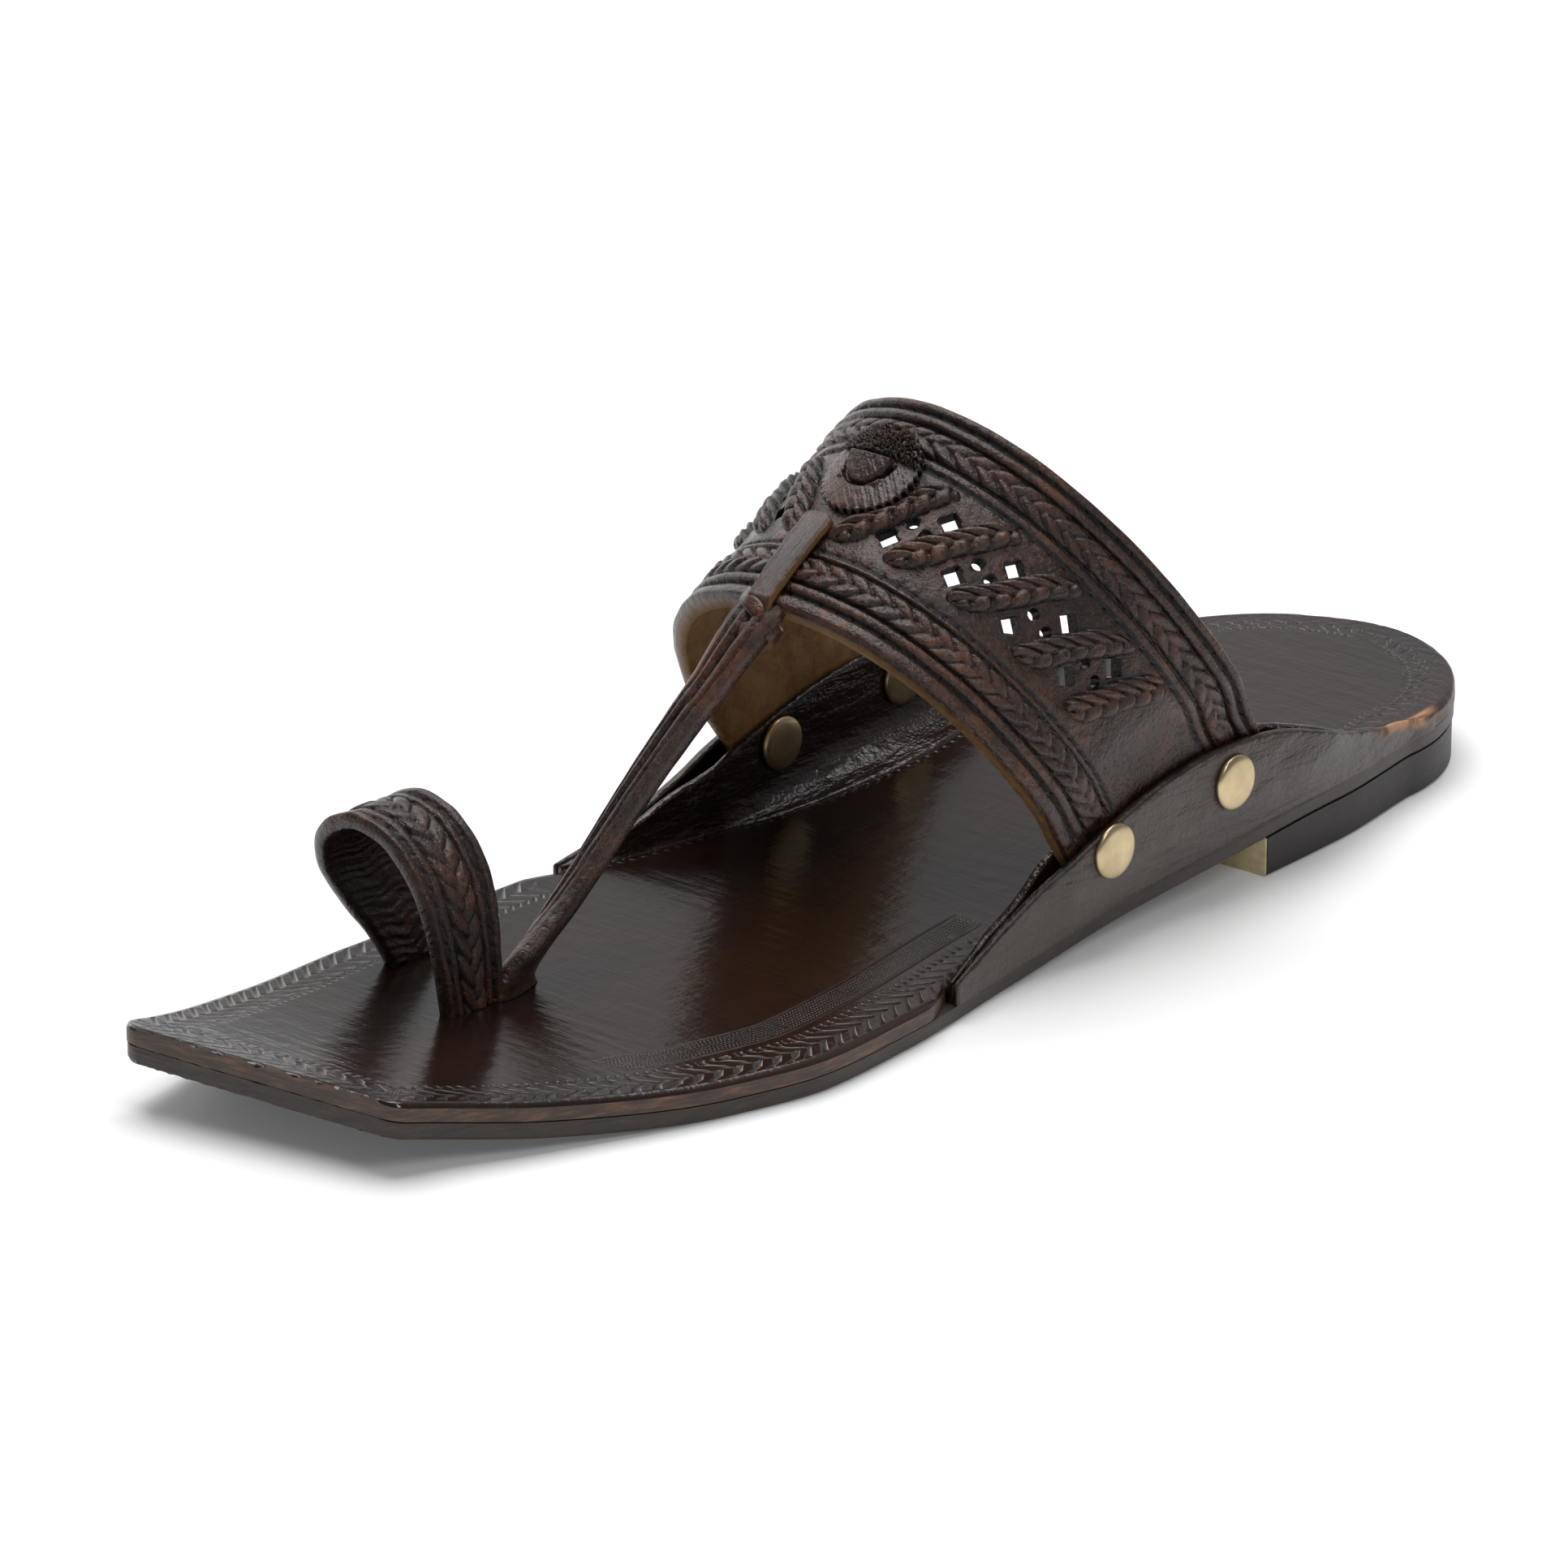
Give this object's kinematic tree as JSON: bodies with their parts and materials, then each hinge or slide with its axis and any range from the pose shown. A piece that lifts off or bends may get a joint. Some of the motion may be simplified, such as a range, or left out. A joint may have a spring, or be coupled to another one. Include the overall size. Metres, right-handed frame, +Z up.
{
  "type": "kolhapuri chappal sandal",
  "caption": "Flat leather sandal with an arched, punched and braided instep band, a toe thong, a big toe loop, side ears held by rivets, and a low heel block; left shoe.",
  "frame": {"origin": "centre of the outline on the floor, under the middle of the sole", "axes": "+Z up; toe toward -Y, heel toward +Y; +X toward the wearer's lateral side of this left shoe"},
  "size_m": [0.0908, 0.2848, 0.0884],
  "materials": {
    "footbed_leather": "polished dark brown, nearly black",
    "sole_leather": "burnished dark edge",
    "heel_leather": "dark matt leather stack",
    "ear_leather": "smooth satin grey brown",
    "upper_leather": "grained glossy red brown to black",
    "rosette_leather": "grained satin dark brown",
    "brass": "satin pale brass"
  },
  "bodies": {
    "root": {"insole": "footbed_leather", "outsole": "sole_leather", "heel": "heel_leather", "ear_lateral_outer": "ear_leather", "ear_lateral_inner": "ear_leather", "ear_medial_outer": "ear_leather", "ear_medial_inner": "ear_leather", "upper": "upper_leather", "rosette": "rosette_leather", "rivet_lateral_front": "brass", "rivet_lateral_rear": "brass", "rivet_medial_front": "brass", "rivet_medial_rear": "brass"}
  },
  "joints": []
}
